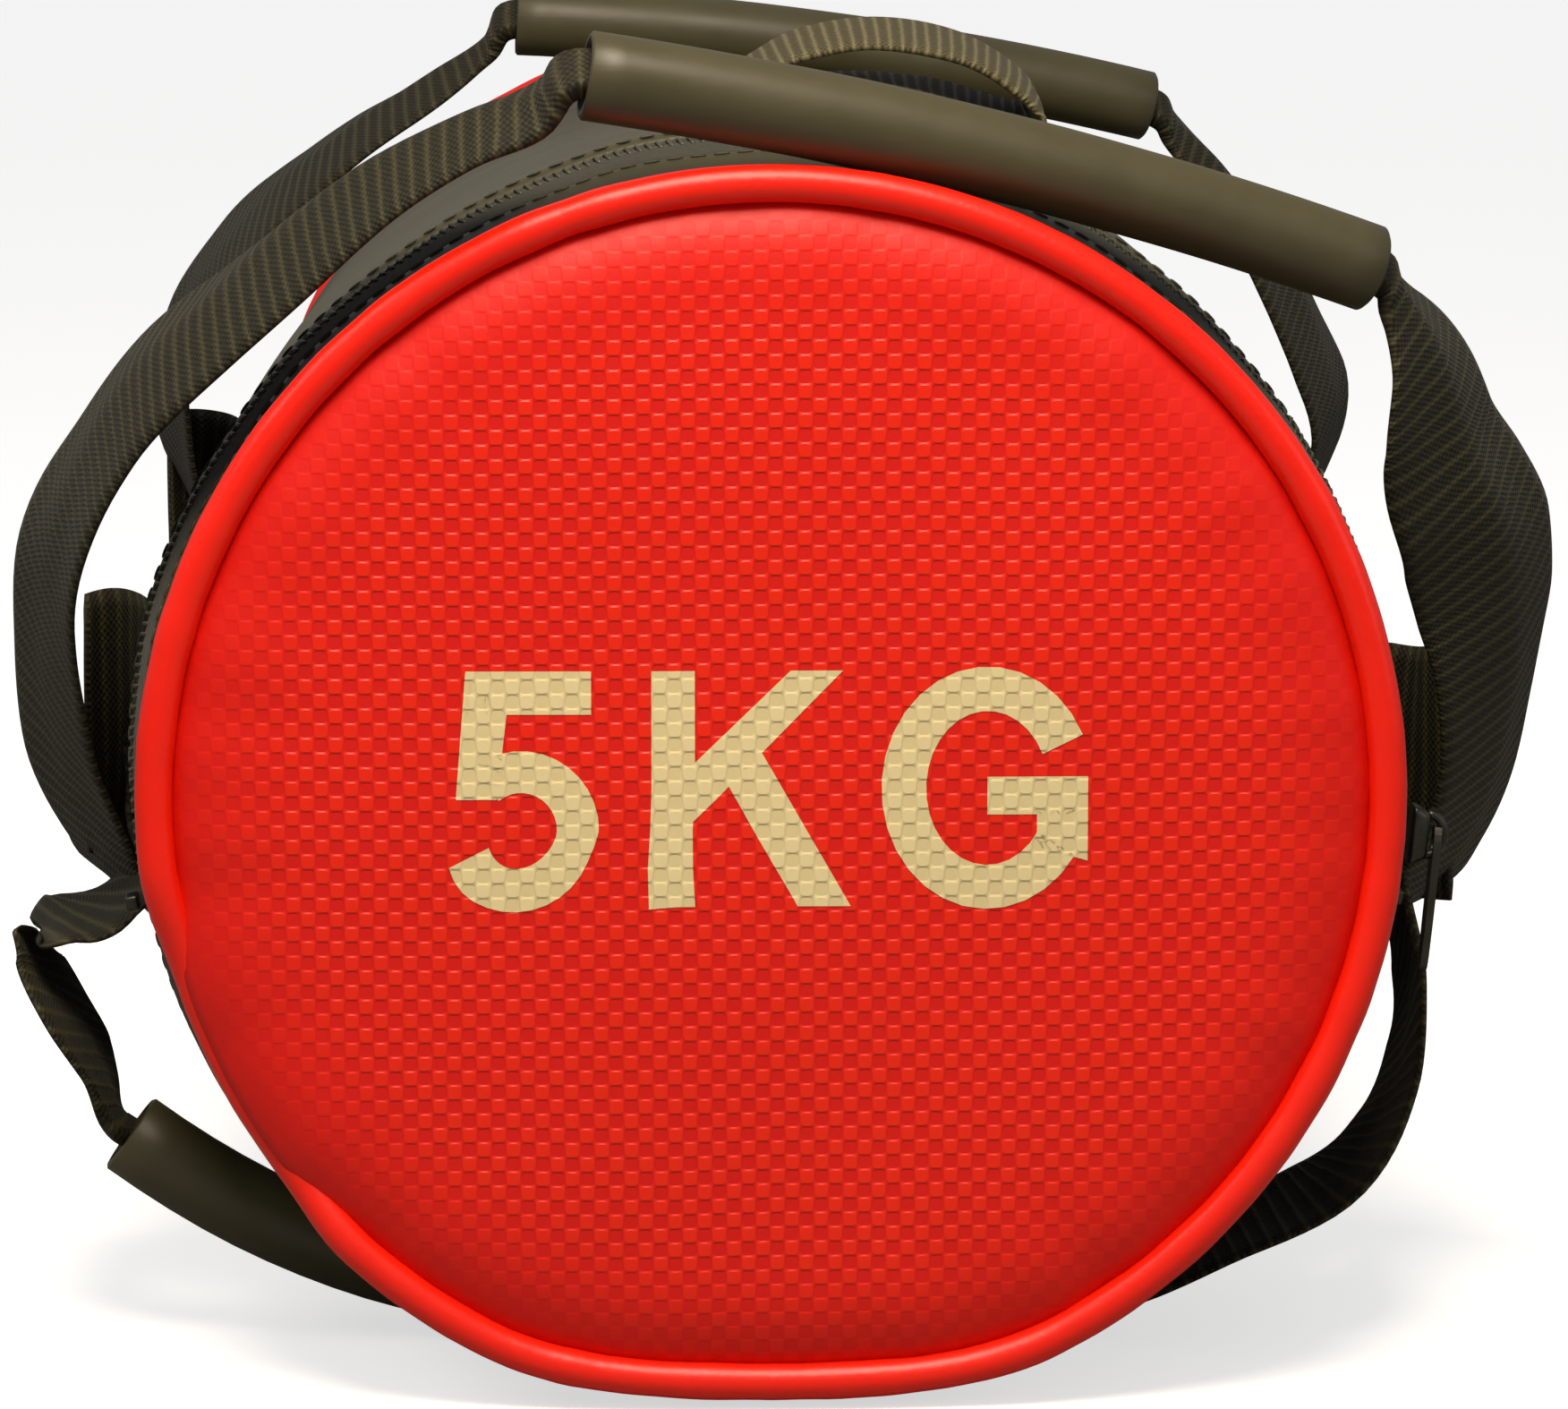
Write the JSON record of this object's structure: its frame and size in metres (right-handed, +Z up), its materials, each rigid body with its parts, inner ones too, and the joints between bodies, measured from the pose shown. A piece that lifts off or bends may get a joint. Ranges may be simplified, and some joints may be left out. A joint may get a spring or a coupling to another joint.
{
  "type": "power bag",
  "caption": "Cylindrical padded weight bag with red embossed ends, ring zip, webbing side straps, tubular grips and a carry loop.",
  "frame": {"origin": "floor under the middle of the bag, on its flat underside", "axes": "+Y along the bag's axis from the marked end to the far end, +Z up"},
  "size_m": [0.2563, 0.5028, 0.2177],
  "materials": {
    "black_vinyl": "semi-gloss coated cloth",
    "black_vinyl_band": "semi-gloss coated cloth",
    "red_vinyl_near": "embossed semi-matt coated cloth",
    "red_vinyl_far": "embossed semi-matt coated cloth",
    "red_piping_near": "smooth vinyl",
    "red_piping_far": "smooth vinyl",
    "foam_sleeve": "closed-cell foam",
    "foam_near": "closed-cell foam",
    "foam_far": "closed-cell foam",
    "textile_padding": "packed textile",
    "sack_cloth": "woven cloth",
    "packed_sand": "dry sand",
    "tape_near": "woven tape",
    "tape_far": "woven tape",
    "nylon_coil": "nylon",
    "stop_left": "pressed metal",
    "stop_right": "pressed metal",
    "zip_slider_metal": "blackened cast metal",
    "zip_pull_metal": "blackened cast metal",
    "left_web": "woven webbing",
    "right_web": "woven webbing",
    "near_top_web": "woven webbing",
    "far_top_web": "woven webbing",
    "near_low_web": "woven webbing",
    "far_low_web": "woven webbing",
    "near_top_rubber": "satin rubber",
    "far_top_rubber": "satin rubber",
    "near_low_rubber": "satin rubber",
    "far_low_rubber": "satin rubber",
    "carry_loop_web": "woven webbing",
    "loop_patch_web": "woven webbing"
  },
  "bodies": {
    "bag": {"main_cover": "black_vinyl", "zip_side_band": "black_vinyl_band", "near_end_panel": "red_vinyl_near", "far_end_panel": "red_vinyl_far", "near_piping": "red_piping_near", "far_piping": "red_piping_far", "foam_sleeve": "foam_sleeve", "near_foam_disc": "foam_near", "far_foam_disc": "foam_far", "padding_roll": "textile_padding", "sand_sack": "sack_cloth", "sand_fill": "packed_sand", "zip_tape_near": "tape_near", "zip_tape_far": "tape_far", "zip_coil": "nylon_coil", "zip_stop_left": "stop_left", "zip_stop_right": "stop_right", "left_side_webbing": "left_web", "right_side_webbing": "right_web", "near_lower_strap": "near_low_web", "far_lower_strap": "far_low_web", "near_lower_grip": "near_low_rubber", "far_lower_grip": "far_low_rubber", "carry_loop_patch": "loop_patch_web"},
    "near_top_handle": {"near_top_strap": "near_top_web"},
    "near_top_grip_body": {"near_top_grip": "near_top_rubber"},
    "far_top_handle": {"far_top_strap": "far_top_web"},
    "far_top_grip_body": {"far_top_grip": "far_top_rubber"},
    "carry_loop_body": {"carry_loop": "carry_loop_web"},
    "slider": {"zip_slider": "zip_slider_metal"},
    "pull": {"zip_pull": "zip_pull_metal"}
  },
  "joints": [
    {"name": "near_top_swing", "type": "hinge", "parent": "bag", "child": "near_top_handle", "pos_m": [0, -0.16, 0.09682], "axis": [-1, 0, 0], "range_deg": [0, 70]},
    {"name": "near_top_grip_creep", "type": "hinge", "parent": "near_top_handle", "child": "near_top_grip_body", "pos_m": [-0.12995, 0.07366, -0.21326], "axis": [0, 0.7986, 0.6018], "range_deg": [-1, 1]},
    {"name": "far_top_swing", "type": "hinge", "parent": "bag", "child": "far_top_handle", "pos_m": [0, 0.16, 0.09682], "axis": [-1, 0, 0], "range_deg": [0, 66]},
    {"name": "far_top_grip_creep", "type": "hinge", "parent": "far_top_handle", "child": "far_top_grip_body", "pos_m": [-0.06795, 0.38601, -0.22595], "axis": [0, 0.8192, 0.5736], "range_deg": [-1, 1]},
    {"name": "carry_loop_swing", "type": "hinge", "parent": "bag", "child": "carry_loop_body", "pos_m": [0, 0, 0.19862], "axis": [0, -1, 0], "range_deg": [0, 110]},
    {"name": "slider_travel", "type": "hinge", "parent": "bag", "child": "slider", "pos_m": [0, -0.215, 0.09682], "axis": [0, -1, 0], "range_deg": [0, 190]},
    {"name": "pull_swing", "type": "hinge", "parent": "slider", "child": "pull", "pos_m": [0.10847, -0.215, 0.08629], "axis": [0, -1, 0], "range_deg": [0, 150]}
  ]
}
